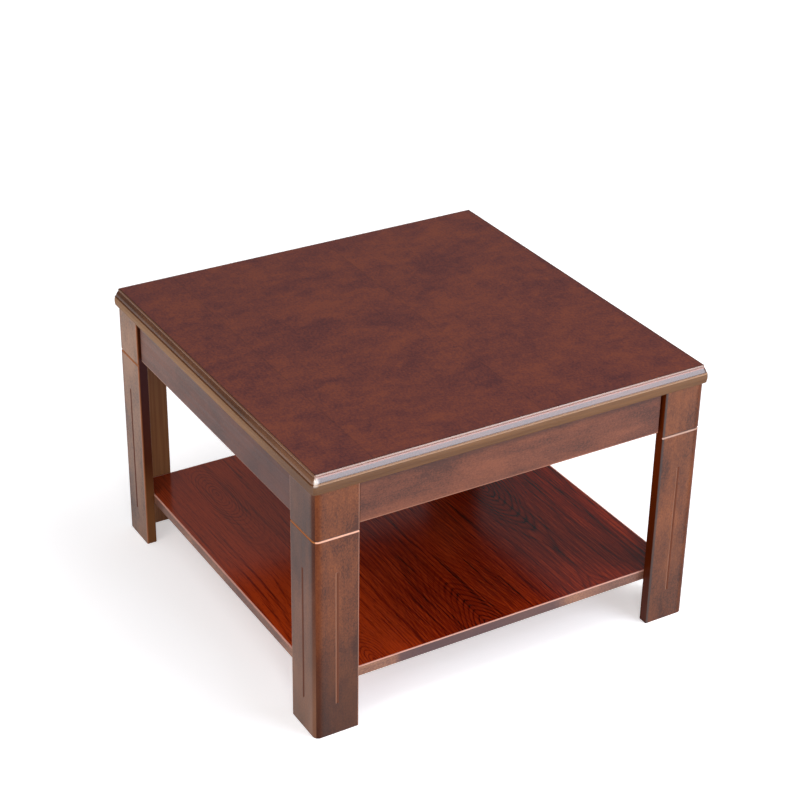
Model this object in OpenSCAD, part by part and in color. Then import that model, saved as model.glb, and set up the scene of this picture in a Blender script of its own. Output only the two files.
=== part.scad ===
// Square tea table with an open shelf: a veneered top in a mitred moulded edge, an apron,
// and four legs, each of two mitred boards, that hold the shelf in their inner angles.
// Millimetres. +Z is up, the front faces -Y, and the origin is on the floor under the centre.

/* [Table] */
// Width of the top, side to side
table_w = 600; // [480:5:900]
// Depth of the top, front to back
table_d = 600; // [480:5:900]
// Height of the top above the floor
table_h = 396; // [350:1:520]

/* [Top] */
// Thickness of the veneered panel
panel_t = 15; // [14:0.5:18]
// Height of the moulded edge
edge_h = 25; // [23:0.5:30]
// Width of moulding that shows round the panel
moulding_w = 8; // [7:0.5:12]
// Width of the bead beside the panel
bead_w = 1.5; // [1:0.1:2.5]
// Height of the bead
bead_h = 2.5; // [1.5:0.1:4]
// How far below the top the sloped band ends
band_drop = 10.7; // [8:0.1:16]
// How far the band's lower edge lies behind the nosing
band_behind = 1.4; // [0:0.1:2.5]
// Height of the groove between the band and the nosing
edge_groove_h = 1.5; // [0.8:0.1:2]
// Depth of that groove
edge_groove_depth = 0.7; // [0.4:0.1:1.5]
// How far the nosing swells outward
nosing_swell = 0.8; // [0.4:0.1:1.5]
// Thickness of the tongue that joins the moulding to the panel
tongue_t = 5; // [3:0.5:6]
// Length of that tongue
tongue_l = 5; // [3:0.5:8]

/* [Legs] */
// Width of each leg board
leg_w = 63.5; // [58:0.5:90]
// Thickness of each leg board
leg_board_t = 15; // [13:0.5:18]
// How far the top overhangs the legs
top_overhang = 4.5; // [2:0.5:15]
// Radius of a leg's outer corner
leg_round = 8; // [4:0.5:12]
// Radius of the rounded arrises on the legs, aprons and shelf bands
edge_r = 1.2; // [0.5:0.1:1.4]
// How far the ring groove lies below the apron
ring_drop = 8; // [6:0.5:25]
// Width of the ring groove
ring_w = 4.6; // [2:0.2:5]
// Depth of the ring groove
ring_depth = 1.4; // [1:0.1:2.5]
// Width of the upright grooves
flute_w = 4.4; // [2:0.2:5]
// Depth of the upright grooves
flute_depth = 1.2; // [1:0.1:2.5]
// Height of the foot below the upright grooves
flute_foot = 49; // [30:1:80]
// Distance from the ring groove down to the upright grooves
flute_head = 54; // [20:1:80]

/* [Apron] */
// Height of the apron
apron_h = 62; // [50:0.5:90]
// Thickness of the apron boards
apron_t = 20; // [18:0.5:25]
// How far the apron's face lies behind the legs' faces
apron_setback = 4; // [2:0.5:8]
// Width of the shadow gap between the apron's face and a leg
apron_gap = 5; // [1:0.5:12]
// Width of that gap at the left ends of the front and back aprons, which are pushed to that side
close_gap = 2; // [0.5:0.5:12]

/* [Shelf] */
// Height of the shelf's upper face above the floor
shelf_height = 81; // [50:1:150]
// Thickness of the shelf
shelf_t = 15; // [14:0.5:20]
// Thickness of the shelf's edge bands
band_t = 2; // [1.5:0.5:3]

/* [Leg bolts] */
// Width of the corner blocks
block_w = 38; // [30:1:45]
// How far a corner block stops above the apron's lower edge
block_lift = 3; // [1:1:8]
// Diameter of the leg bolts
bolt_d = 6; // [5:1:8]
// Height of the lower bolts above the apron's lower edge
low_bolt_up = 18; // [14:1:22]
// Height of the upper bolts above the lower ones
bolt_step = 22; // [16:1:26]
// Length of the threaded inserts
insert_l = 11; // [8:0.5:12]
// Wall of the threaded inserts
insert_wall = 1.6; // [1:0.1:2]
// Diameter of the washers
washer_d = 16; // [13:1:18]
// Thickness of the washers
washer_t = 1.5; // [1:0.1:2]
// Diameter of the bolt heads
bolt_head_d = 11; // [10:0.5:13]
// Height of the bolt heads
bolt_head_h = 4; // [3:0.5:6]
// Width across the key socket in the bolt heads
key_w = 4; // [3:0.5:5]

/* [Cleats] */
// Width of the cleats under the top
cleat_w = 20; // [16:1:26]
// Height of the cleats
cleat_h = 22; // [20:1:28]
// Gap between the cleats and the corner blocks
cleat_gap = 15; // [10:1:30]
// Spacing of the screws along a cleat
screw_pitch = 170; // [100:5:180]
// Diameter of the wood screws
screw_d = 4; // [3:0.5:5]
// Diameter of the screws' heads
screw_head_d = 8; // [7:0.5:10]
// How far a screw bites past its cleat
screw_bite = 9; // [6:0.5:11]
// Height of the side screws above the cleat's lower face
side_screw_up = 7; // [5:0.5:9]

/* [Shelf fittings] */
// Diameter of the cams
cam_d = 12; // [10:0.5:13]
// Height of the cams
cam_h = 12; // [11:0.5:12.5]
// Distance from the shelf's edge to the middle of a cam
cam_reach = 24; // [22:1:34]
// Distance from a leg's outer face to its cam bolt
cam_along = 50; // [46:1:52]
// Diameter of the cam bolts
cam_bolt_d = 6; // [5:0.5:7]
// Depth of the cam bolts in the leg boards
cam_bolt_bite = 11; // [8:0.5:12]

/* [Fits] */
// Clearance round parts that sit in holes
fit = 0.15; // [0.1:0.05:0.3]

/* [Hidden] */
$fn = 64;
// Facets of a curved stretch of the moulding
curve_steps = 8;
// Facets of a rounded arris, all round
arris_facets = 24;
// How far a cutter runs past the face that it cuts
over = 1;
// Chamfer between the moulding and the panel, and on the nosing's lower edge
arris = 0.6;
// Height and depth of the step between the bead and the sloped band
bead_step = 0.8;
step_depth = 0.5;
// How far the sloped band bows outward
band_bow = 0.55;
// Length of a wood screw's point
screw_point = 4;
// Width and depth of the driver slots in the cams
slot_w = 1.6;
slot_depth = 2;

leg_x = table_w / 2 - top_overhang;
leg_y = table_d / 2 - top_overhang;
leg_h = table_h - edge_h;
apron_z = leg_h - apron_h;
apron_rebate = leg_board_t - apron_setback;
apron_back = apron_setback + apron_t;
rail_w = top_overhang + apron_back;
ring_z = apron_z - ring_drop;
shelf_z = shelf_height - shelf_t;
block_mid = apron_back + block_w / 2;
block_end = apron_back + block_w;
low_bolt_z = apron_z + low_bolt_up;
high_bolt_z = low_bolt_z + bolt_step;
insert_d = bolt_d + 2 * insert_wall;
bolt_tip = leg_board_t - insert_l + over;
cleat_z = table_h - panel_t - cleat_h;
cleat_end = block_end + cleat_gap;
side_screw_z = cleat_z + side_screw_up;
cam_bolt_z = shelf_z + shelf_t / 2;

MOULDING_COLOUR = "#6f4f3c";
TOP_COLOUR = "#5d3430";
FRAME_COLOUR = "#75483b";
SHELF_COLOUR = "#6a2013";
BAND_COLOUR = "#7d4a3a";
SOFTWOOD_COLOUR = "#c9a070";
STEEL_COLOUR = "#b4b6ba";
BRASS_COLOUR = "#b8964f";

// Placing

// Turns what faces the front to face the left
module to_left() rotate([0, 0, -90]) children();

module to_right() mirror([1, 0, 0]) to_left() children();

module to_back() mirror([0, 1, 0]) children();

// Puts children at a leg's outer corner, where +X and +Y run inward along its two faces
module at_corner(right, back) {
    translate([right ? leg_x : -leg_x, back ? leg_y : -leg_y, 0])
        flip([1, 0, 0], right) flip([0, 1, 0], back) children();
}

module flip(normal, on) {
    if (on) mirror(normal) children();
    else children();
}

module at_all_corners() {
    for (right = [false, true], back = [false, true]) at_corner(right, back) children();
}

// Swaps a leg's face board with its side board
module swap_boards() mirror([1, -1, 0]) children();

// Lays a shape that stands on +Z down along +Y, with its foot at y = 0
module lay_back() rotate([-90, 0, 0]) children();

// Lays a shape that stands on +Z down along -Y, with its foot at y = 0
module lay_forward() rotate([90, 0, 0]) children();

// Curves and cutters

// Points from p to q on a shallow bow that rises to the right of the line
function bow(p, q, rise) = [for (i = [0:curve_steps])
    let (t = i / curve_steps, side = [p[1] - q[1], q[0] - p[0]] / norm(q - p))
    p + (q - p) * t + side * rise * 4 * t * (1 - t)];

// Points of a quarter ellipse that leaves p level and reaches q upright
function quarter(p, q) = [for (i = [0:curve_steps])
    let (a = 90 * i / curve_steps)
    [p[0] + (q[0] - p[0]) * sin(a), p[1] + (q[1] - p[1]) * (1 - cos(a))]];

// Triangle of a V groove that is w wide and d deep, cut from above y = 0
function v_points(w, d) = [[-w / 2 * (1 + over / d), over], [0, -d], [w / 2 * (1 + over / d), over]];

// Wood screw with its head's flat face at z = 0 and its point up; grow widens it all round
module wood_screw(length, grow = 0) {
    head_h = (screw_head_d - screw_d) / 2;
    cylinder(d1 = screw_head_d + 2 * grow, d2 = screw_d + 2 * grow, h = head_h);
    cylinder(d = screw_d + 2 * grow, h = length - screw_point);
    translate([0, 0, length - screw_point])
        cylinder(d1 = screw_d + 2 * grow, d2 = 2 * grow + 0.4, h = screw_point + grow);
}

// What a rounded arris leaves out of a square one, for a solid on the +X +Y side of it
module arris_gap() {
    difference() {
        translate([-over, -over]) square(edge_r + over);
        translate([edge_r, edge_r]) circle(edge_r, $fn = arris_facets);
    }
}

// That gap along the lower front edge of a board that stands on z = 0 behind y = 0
module low_arris_gap(half_length) {
    translate([-half_length - over, 0, 0])
        rotate([90, 0, 90]) linear_extrude(2 * (half_length + over)) arris_gap();
}

module side_screw(grow = 0) wood_screw(cleat_w + screw_bite, grow);

module top_screw(grow = 0) wood_screw(cleat_h + screw_bite, grow);

// Top

module moulding_profile() {
    bead_start = [moulding_w - arris, 0];
    bead_end = bead_start + [-bead_w, -bead_h];
    band_start = bead_end + [step_depth, -bead_step];
    band_end = [nosing_swell + band_behind, -band_drop];
    groove_in = band_end + [edge_groove_depth, -edge_groove_h / 2];
    nosing_start = [nosing_swell, -band_drop - edge_groove_h];
    nosing_end = [nosing_swell, -edge_h + arris];
    tongue_low = -(panel_t + tongue_t) / 2;
    polygon(concat(
        [[moulding_w, -arris]],
        quarter(bead_start, bead_end),
        bow(band_start, band_end, -band_bow),
        [groove_in],
        bow(nosing_start, nosing_end, -nosing_swell),
        [[nosing_swell + arris, -edge_h], [rail_w, -edge_h], [rail_w, -panel_t], [moulding_w, -panel_t],
         [moulding_w, tongue_low], [moulding_w + tongue_l, tongue_low],
         [moulding_w + tongue_l, tongue_low + tongue_t], [moulding_w, tongue_low + tongue_t]]));
}

// The moulding's outer part turned round the panel's front left corner
module moulding_turn() {
    rotate(180)
        rotate_extrude(angle = 90)
            intersection() {
                translate([moulding_w, 0]) mirror([1, 0]) moulding_profile();
                translate([0, -edge_h - over]) square([moulding_w + over, edge_h + 2 * over]);
            }
}

// Edge moulding along the front of a top of the given size, mitred and rounded at both ends
module edge_moulding(w, d) {
    straight = w - 2 * moulding_w;
    color(MOULDING_COLOUR)
        intersection() {
            union() {
                translate([-straight / 2, -d / 2, table_h])
                    rotate([90, 0, 90]) linear_extrude(straight) moulding_profile();
                for (right = [false, true])
                    flip([1, 0, 0], right)
                        translate([-straight / 2, moulding_w - d / 2, table_h]) moulding_turn();
            }
            translate([0, -d / 2, leg_h - over])
                linear_extrude(edge_h + 2 * over)
                    polygon([[-w / 2, 0], [w / 2, 0], [w / 2 - rail_w, rail_w], [rail_w - w / 2, rail_w]]);
        }
}

module top_panel() {
    panel_w = table_w - 2 * moulding_w;
    panel_d = table_d - 2 * moulding_w;
    groove_depth = tongue_l + fit;
    color(TOP_COLOUR)
        difference() {
            translate([-panel_w / 2, -panel_d / 2, table_h - panel_t]) cube([panel_w, panel_d, panel_t]);
            difference() {
                translate([-panel_w / 2 - over, -panel_d / 2 - over, table_h - (panel_t + tongue_t) / 2])
                    cube([panel_w + 2 * over, panel_d + 2 * over, tongue_t]);
                translate([groove_depth - panel_w / 2, groove_depth - panel_d / 2, table_h - panel_t])
                    cube([panel_w - 2 * groove_depth, panel_d - 2 * groove_depth, panel_t]);
            }
            front_top_screws(leg_x, leg_y, fit);
            to_back() front_top_screws(leg_x, leg_y, fit);
            to_left() front_top_screws(leg_y, leg_x, fit);
            to_right() front_top_screws(leg_y, leg_x, fit);
        }
}

// Legs

// Section of a face board, with the leg's outer corner at the origin
module leg_board_section() {
    intersection() {
        union() {
            translate([leg_round, 0]) square([leg_w - leg_round - edge_r, leg_board_t]);
            translate([leg_round, leg_round]) circle(leg_round);
            hull()
                for (y = [edge_r, leg_board_t - edge_r])
                    translate([leg_w - edge_r, y]) circle(edge_r, $fn = arris_facets);
        }
        polygon([[0, 0], [leg_w, 0], [leg_w, leg_board_t], [leg_board_t, leg_board_t]]);
    }
}

// V groove across the board and round the leg's outer corner
module ring_groove() {
    translate([leg_round, 0, ring_z])
        rotate([90, 0, 90]) linear_extrude(leg_w)
            rotate(90) polygon(v_points(ring_w, ring_depth));
    intersection() {
        translate([leg_round, leg_round, ring_z])
            rotate_extrude() translate([leg_round, 0]) rotate(-90) polygon(v_points(ring_w, ring_depth));
        translate([-2 * over, -2 * over, ring_z - ring_w])
            cube([leg_round + 2 * over, leg_round + 2 * over, 2 * ring_w]);
    }
}

// Upright V groove in the middle of the board's face, with the tool's round ends
module flute() {
    top_z = ring_z - flute_head;
    translate([leg_w / 2, 0, flute_foot])
        linear_extrude(top_z - flute_foot) mirror([0, 1]) polygon(v_points(flute_w, flute_depth));
    for (z = [flute_foot, top_z])
        translate([leg_w / 2, -over, z])
            lay_back() cylinder(d1 = flute_w * (1 + over / flute_depth), d2 = 0, h = flute_depth + over);
}

// Face board of a leg, whose bolt runs at the given height
module leg_board(bolt_z) {
    color(FRAME_COLOUR)
        difference() {
            linear_extrude(leg_h) leg_board_section();
            ring_groove();
            flute();
            translate([block_mid, leg_board_t + over, bolt_z])
                lay_forward() cylinder(d = insert_d + 2 * fit, h = insert_l + fit + over);
            translate([cam_along, leg_board_t + over, cam_bolt_z])
                lay_forward() cylinder(d = cam_bolt_d + 2 * fit, h = cam_bolt_bite + fit + over);
        }
}

module leg_face_board() leg_board(low_bolt_z);

module leg_side_board() swap_boards() leg_board(high_bolt_z);

// Leg bolts, at a corner

module at_bolts() {
    translate([block_mid, 0, low_bolt_z]) children();
    swap_boards() translate([block_mid, 0, high_bolt_z]) children();
}

module corner_block() {
    color(SOFTWOOD_COLOUR)
        difference() {
            translate([apron_back, apron_back, apron_z + block_lift])
                cube([block_w, block_w, apron_h - block_lift]);
            at_bolts() lay_back() cylinder(d = bolt_d + 2 * fit, h = block_end + over);
        }
}

module leg_bolt() {
    translate([0, block_end + washer_t, 0]) {
        lay_forward() cylinder(d = bolt_d, h = block_end + washer_t - bolt_tip);
        difference() {
            lay_back() cylinder(d = bolt_head_d, h = bolt_head_h);
            translate([0, bolt_head_h / 2, 0])
                lay_back() cylinder(d = key_w / cos(30), h = bolt_head_h, $fn = 6);
        }
    }
}

module leg_bolt_washer() {
    translate([0, block_end, 0])
        difference() {
            lay_back() cylinder(d = washer_d, h = washer_t);
            translate([0, -over, 0]) lay_back() cylinder(d = bolt_d + 2 * fit, h = washer_t + 2 * over);
        }
}

module threaded_insert() {
    translate([0, leg_board_t, 0])
        difference() {
            lay_forward() cylinder(d = insert_d, h = insert_l);
            translate([0, over, 0]) lay_forward() cylinder(d = bolt_d + fit, h = insert_l + 2 * over);
        }
}

// Apron

// Apron along the front: its face stands between two legs, with the given gap at its left end, and
// its rebated ends reach the given half length behind their boards
module apron(half_w, half_d, half_tongue, left_gap, bolt_z) {
    face_left = leg_w + left_gap - half_w;
    face_right = half_w - leg_w - apron_gap;
    color(FRAME_COLOUR)
        difference() {
            translate([0, apron_setback - half_d, apron_z])
                difference() {
                    linear_extrude(apron_h)
                        difference() {
                            polygon([[face_left, 0], [face_right, 0],
                                     [face_right, apron_rebate], [half_tongue, apron_rebate],
                                     [half_tongue, apron_t], [-half_tongue, apron_t],
                                     [-half_tongue, apron_rebate], [face_left, apron_rebate]]);
                            translate([face_left, 0]) arris_gap();
                            translate([face_right, 0]) mirror([1, 0]) arris_gap();
                        }
                    low_arris_gap(half_w);
                }
            for (side = [-1, 1])
                translate([side * (half_w - block_mid), -half_d, bolt_z])
                    lay_back() cylinder(d = bolt_d + 2 * fit, h = apron_back + over);
            front_side_screws(half_w, half_d, fit);
        }
}

module face_apron() apron(leg_x, leg_y, leg_x - leg_board_t, close_gap, low_bolt_z);

// The side aprons butt between the front and back ones
module side_apron() apron(leg_y, leg_x, leg_y - apron_back, apron_gap, high_bolt_z);

// Cleats that hold the top

module front_side_screws(half_w, half_d, grow = 0) {
    for (i = [-1:1])
        translate([i * screw_pitch, apron_back + cleat_w - half_d, side_screw_z])
            lay_forward() side_screw(grow);
}

module front_top_screws(half_w, half_d, grow = 0) {
    for (i = [-0.5, 0.5])
        translate([i * screw_pitch, apron_back + cleat_w / 2 - half_d, cleat_z]) top_screw(grow);
}

module top_cleat(half_w, half_d) {
    length = 2 * (half_w - cleat_end);
    color(SOFTWOOD_COLOUR)
        difference() {
            translate([-length / 2, apron_back - half_d, cleat_z]) cube([length, cleat_w, cleat_h]);
            front_side_screws(half_w, half_d, fit);
            front_top_screws(half_w, half_d, fit);
        }
}

module cleat_side_screws() {
    color(STEEL_COLOUR) {
        front_side_screws(leg_x, leg_y);
        to_back() front_side_screws(leg_x, leg_y);
        to_left() front_side_screws(leg_y, leg_x);
        to_right() front_side_screws(leg_y, leg_x);
    }
}

module cleat_top_screws() {
    color(STEEL_COLOUR) {
        front_top_screws(leg_x, leg_y);
        to_back() front_top_screws(leg_x, leg_y);
        to_left() front_top_screws(leg_y, leg_x);
        to_right() front_top_screws(leg_y, leg_x);
    }
}

// Shelf

module at_cams() {
    translate([cam_along, leg_board_t, shelf_z]) children();
    swap_boards() translate([cam_along, leg_board_t, shelf_z]) children();
}

// Channel of a cam bolt through the shelf's edge
module cam_bolt_hole() {
    translate([0, -over, cam_bolt_z - shelf_z])
        lay_back() cylinder(d = cam_bolt_d + 2 * fit, h = cam_reach + over);
}

module shelf_panel() {
    half_w = leg_x - leg_board_t - band_t;
    half_d = leg_y - leg_board_t - band_t;
    color(SHELF_COLOUR)
        difference() {
            translate([-half_w, -half_d, shelf_z]) cube([2 * half_w, 2 * half_d, shelf_t]);
            at_all_corners() at_cams() {
                cam_bolt_hole();
                translate([0, cam_reach, -over]) cylinder(d = cam_d + 2 * fit, h = cam_h + fit + over);
            }
        }
}

// Edge band along the shelf's front, whose ends reach the given half length
module shelf_edge_band(half_length, half_d) {
    color(BAND_COLOUR)
        difference() {
            translate([0, leg_board_t - half_d, shelf_z])
                difference() {
                    translate([-half_length, 0, 0]) cube([2 * half_length, band_t, shelf_t]);
                    low_arris_gap(half_length);
                    translate([0, 0, shelf_t]) mirror([0, 0, 1]) low_arris_gap(half_length);
                }
            at_all_corners() at_cams() cam_bolt_hole();
        }
}

module face_edge_band() shelf_edge_band(leg_x - leg_board_t, leg_y);

module side_edge_band() {
    color(BAND_COLOUR)
        difference() {
            to_left() shelf_edge_band(leg_y - leg_board_t - band_t, leg_x);
            at_all_corners() at_cams() cam_bolt_hole();
        }
}

module shelf_cam() {
    translate([0, cam_reach, 0])
        difference() {
            cylinder(d = cam_d, h = cam_h);
            translate([0, -cam_d, cam_bolt_z - shelf_z])
                lay_back() cylinder(d = cam_bolt_d + 2 * fit, h = cam_d + cam_bolt_d / 2);
            for (turn = [45, 135])
                rotate(turn) translate([-cam_d / 3, -slot_w / 2, -over])
                    cube([cam_d * 2 / 3, slot_w, slot_depth + over]);
        }
}

module shelf_cam_bolt() {
    translate([0, -cam_bolt_bite, cam_bolt_z - shelf_z])
        lay_back() cylinder(d = cam_bolt_d, h = cam_bolt_bite + cam_reach + cam_bolt_d / 4);
}

top_panel();
edge_moulding(table_w, table_d);  // front_edge_moulding
to_back() edge_moulding(table_w, table_d);  // back_edge_moulding
to_left() edge_moulding(table_d, table_w);  // left_edge_moulding
to_right() edge_moulding(table_d, table_w);  // right_edge_moulding
face_apron();  // front_apron
to_back() face_apron();  // back_apron
to_left() side_apron();  // left_apron
to_right() side_apron();  // right_apron
at_corner(false, false) leg_face_board();  // front_left_leg_face_board
at_corner(false, false) leg_side_board();  // front_left_leg_side_board
at_corner(true, false) leg_face_board();  // front_right_leg_face_board
at_corner(true, false) leg_side_board();  // front_right_leg_side_board
at_corner(false, true) leg_face_board();  // back_left_leg_face_board
at_corner(false, true) leg_side_board();  // back_left_leg_side_board
at_corner(true, true) leg_face_board();  // back_right_leg_face_board
at_corner(true, true) leg_side_board();  // back_right_leg_side_board
shelf_panel();
face_edge_band();  // front_shelf_edge_band
to_back() face_edge_band();  // back_shelf_edge_band
side_edge_band();  // left_shelf_edge_band
mirror([1, 0, 0]) side_edge_band();  // right_shelf_edge_band
at_corner(false, false) corner_block();  // front_left_corner_block
at_corner(true, false) corner_block();  // front_right_corner_block
at_corner(false, true) corner_block();  // back_left_corner_block
at_corner(true, true) corner_block();  // back_right_corner_block
top_cleat(leg_x, leg_y);  // front_top_cleat
to_back() top_cleat(leg_x, leg_y);  // back_top_cleat
to_left() top_cleat(leg_y, leg_x);  // left_top_cleat
to_right() top_cleat(leg_y, leg_x);  // right_top_cleat
cleat_side_screws();
cleat_top_screws();
color(STEEL_COLOUR) at_all_corners() at_bolts() leg_bolt();  // leg_bolts
color(STEEL_COLOUR) at_all_corners() at_bolts() leg_bolt_washer();  // leg_bolt_washers
color(BRASS_COLOUR) at_all_corners() at_bolts() threaded_insert();  // leg_threaded_inserts
color(STEEL_COLOUR) at_all_corners() at_cams() shelf_cam();  // shelf_cams
color(STEEL_COLOUR) at_all_corners() at_cams() shelf_cam_bolt();  // shelf_cam_bolts
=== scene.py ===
"""Looks for a square tea table: stained and lacquered wood, a cloudy satin top in a glossy
moulded edge, and a glossy shelf of figured red veneer.

Metres. +Z is up, the front faces -Y, and the origin is on the floor under the centre.
"""

import math
from collections import namedtuple

import bpy
from mathutils import Matrix, Vector


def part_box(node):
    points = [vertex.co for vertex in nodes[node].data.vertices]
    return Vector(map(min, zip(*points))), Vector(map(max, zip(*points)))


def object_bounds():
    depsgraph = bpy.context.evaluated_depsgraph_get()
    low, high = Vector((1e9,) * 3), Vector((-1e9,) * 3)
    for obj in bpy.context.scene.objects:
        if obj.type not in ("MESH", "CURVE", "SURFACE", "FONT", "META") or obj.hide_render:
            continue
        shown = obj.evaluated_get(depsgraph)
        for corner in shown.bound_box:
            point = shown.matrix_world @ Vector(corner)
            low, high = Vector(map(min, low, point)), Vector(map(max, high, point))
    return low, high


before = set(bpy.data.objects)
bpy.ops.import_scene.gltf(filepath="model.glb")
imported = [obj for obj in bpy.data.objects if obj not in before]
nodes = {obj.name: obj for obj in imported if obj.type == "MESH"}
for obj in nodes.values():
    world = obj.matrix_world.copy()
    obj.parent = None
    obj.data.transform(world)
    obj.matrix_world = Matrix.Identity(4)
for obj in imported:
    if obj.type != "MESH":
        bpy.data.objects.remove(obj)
cad_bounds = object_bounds()
scene = bpy.context.scene

X, Y, Z = 0, 1, 2
TABLE_TOP = cad_bounds[1][Z]
WHITE = (1.0, 1.0, 1.0, 1.0)

# Camera

CAMERA_PLACE = Vector((-1.2372, -2.0645, 1.6098))
CAMERA_HEADING = math.radians(30.921)  # from +Y towards +X
CAMERA_TILT = math.radians(-28.943)
CAMERA_ROLL = math.radians(0.987)
CAMERA_SENSOR = 36.0
FOCAL_LENGTH_PX = 1963.8
PHOTO_WIDTH_PX = 800


def add_camera():
    data = bpy.data.cameras.new("camera")
    data.sensor_width = CAMERA_SENSOR
    data.lens = CAMERA_SENSOR * FOCAL_LENGTH_PX / PHOTO_WIDTH_PX
    camera = bpy.data.objects.new("camera", data)
    camera.matrix_world = (
        Matrix.Translation(CAMERA_PLACE)
        @ Matrix.Rotation(-CAMERA_HEADING, 4, "Z")
        @ Matrix.Rotation(math.pi / 2 + CAMERA_TILT, 4, "X")
        @ Matrix.Rotation(CAMERA_ROLL, 4, "Z")
    )
    scene.collection.objects.link(camera)
    scene.camera = camera


# Materials

# Middle of a noise, and the stretch that most of its values lie in
NOISE_MIDDLE = 0.5
NOISE_SPAN = (0.3, 0.7)

# How much of its half width a thin line fades over, inwards and outwards
LINE_SOFTNESS = 0.4

Noise = namedtuple("Noise", "scale shift detail roughness distortion", defaults=(0.0,))


def srgb(red, green, blue):
    """Linear colour of an sRGB colour in 0 to 255."""
    linear = [
        v / 12.92 if v <= 0.04045 else ((v + 0.055) / 1.055) ** 2.4
        for v in (red / 255, green / 255, blue / 255)
    ]
    return (*linear, 1.0)


def fill_ramp(node, stops):
    """Gives a colour ramp node its stops, each a place and a colour."""
    elements = node.color_ramp.elements
    while len(elements) < len(stops):
        elements.new(1.0)
    for element, (place, colour) in zip(elements, stops):
        element.position = place
        element.color = colour


class Shader:
    """A node material, built with short calls that return sockets."""

    def __init__(self, name):
        self.material = bpy.data.materials.new(name)
        self.material.use_nodes = True
        self.tree = self.material.node_tree
        self.surface = self.tree.nodes["Principled BSDF"]
        self.place = self.add("ShaderNodeTexCoord").outputs["Object"]
        self.normal = self.add("ShaderNodeNewGeometry").outputs["Normal"]

    def add(self, kind, **settings):
        node = self.tree.nodes.new(kind)
        for name, value in settings.items():
            setattr(node, name, value)
        return node

    def feed(self, socket, value):
        if isinstance(value, bpy.types.NodeSocket):
            self.tree.links.new(value, socket)
        else:
            socket.default_value = value

    def maths(self, operation, *values):
        node = self.add("ShaderNodeMath", operation=operation)
        for socket, value in zip(node.inputs, values):
            self.feed(socket, value)
        return node.outputs[0]

    def vector_maths(self, operation, *vectors):
        node = self.add("ShaderNodeVectorMath", operation=operation)
        for socket, vector in zip(node.inputs, vectors):
            self.feed(socket, vector)
        return node.outputs

    def times(self, first, second):
        return self.maths("MULTIPLY", first, second)

    def plus_share(self, value, share, rest):
        """rest and this share of value."""
        return self.maths("MULTIPLY_ADD", value, share, rest)

    def less(self, first, second):
        return self.maths("SUBTRACT", first, second)

    def distance(self, first, second):
        return self.maths("ABSOLUTE", self.less(first, second))

    def sway(self, noise, reach, value):
        """value, moved up and down by a noise."""
        return self.plus_share(self.less(noise, NOISE_MIDDLE), reach, value)

    def axis(self, vector, index):
        node = self.add("ShaderNodeSeparateXYZ")
        self.feed(node.inputs[0], vector)
        return node.outputs[index]

    def join(self, x, y, z):
        node = self.add("ShaderNodeCombineXYZ")
        for socket, value in zip(node.inputs, (x, y, z)):
            self.feed(socket, value)
        return node.outputs[0]

    def scaled(self, scale, shift):
        node = self.add("ShaderNodeMapping")
        self.feed(node.inputs["Vector"], self.place)
        self.feed(node.inputs["Scale"], scale)
        self.feed(node.inputs["Location"], shift)
        return node.outputs[0]

    def noise(self, vector, detail, roughness, distortion=0.0):
        node = self.add("ShaderNodeTexNoise")
        self.feed(node.inputs["Vector"], vector)
        self.feed(node.inputs["Scale"], 1.0)
        self.feed(node.inputs["Detail"], detail)
        self.feed(node.inputs["Roughness"], roughness)
        self.feed(node.inputs["Distortion"], distortion)
        return node.outputs["Fac"]

    def texture(self, kind, more_shift=None):
        """A Noise, moved further by more_shift where that is a socket."""
        place = self.scaled(kind.scale, kind.shift)
        if more_shift is not None:
            place = self.vector_maths("ADD", place, more_shift)[0]
        return self.noise(place, kind.detail, kind.roughness, kind.distortion)

    def span(self, value, low, high, out_low=0.0, out_high=1.0):
        """value from low to high as out_low to out_high, smoothly and held at the ends."""
        node = self.add("ShaderNodeMapRange", interpolation_type="SMOOTHSTEP")
        for name, number in (
            ("Value", value),
            ("From Min", low),
            ("From Max", high),
            ("To Min", out_low),
            ("To Max", out_high),
        ):
            self.feed(node.inputs[name], number)
        return node.outputs[0]

    def line(self, value, place, half_w):
        """1 where value is within half_w of place, with soft edges."""
        outer, inner = half_w * (1 + LINE_SOFTNESS), half_w * (1 - LINE_SOFTNESS)
        return self.span(self.distance(value, place), outer, inner)

    def mix(self, factor, first, second):
        node = self.add("ShaderNodeMix", data_type="RGBA")
        self.feed(node.inputs["Factor"], factor)
        self.feed(node.inputs[6], first)
        self.feed(node.inputs[7], second)
        return node.outputs[2]

    def stain_and_light(self, share, colour, added_tone, mask):
        """colour, mixed with this share of another tone where the mask is 1; used for stains and
        for painted light and shade.
        """
        return self.mix(self.times(mask, share), colour, added_tone)

    def ramp(self, value, stops):
        node = self.add("ShaderNodeValToRGB")
        self.feed(node.inputs[0], value)
        fill_ramp(node, stops)
        return node.outputs[0]

    def bump(self, height, strength, distance):
        node = self.add("ShaderNodeBump")
        self.feed(node.inputs["Height"], height)
        self.feed(node.inputs["Strength"], strength)
        self.feed(node.inputs["Distance"], distance)
        self.feed(self.surface.inputs["Normal"], node.outputs[0])

    def finish(self, colour, roughness, specular=0.5, coat=0.0, coat_roughness=0.1, coat_ior=1.5,
               metallic=0.0):
        self.feed(self.surface.inputs["Base Color"], colour)
        self.feed(self.surface.inputs["Roughness"], roughness)
        self.feed(self.surface.inputs["Coat Weight"], coat)
        self.surface.inputs["Coat Roughness"].default_value = coat_roughness
        self.surface.inputs["Coat IOR"].default_value = coat_ior
        self.surface.inputs["Metallic"].default_value = metallic
        self.surface.inputs["Specular IOR Level"].default_value = specular
        return self.material


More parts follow.
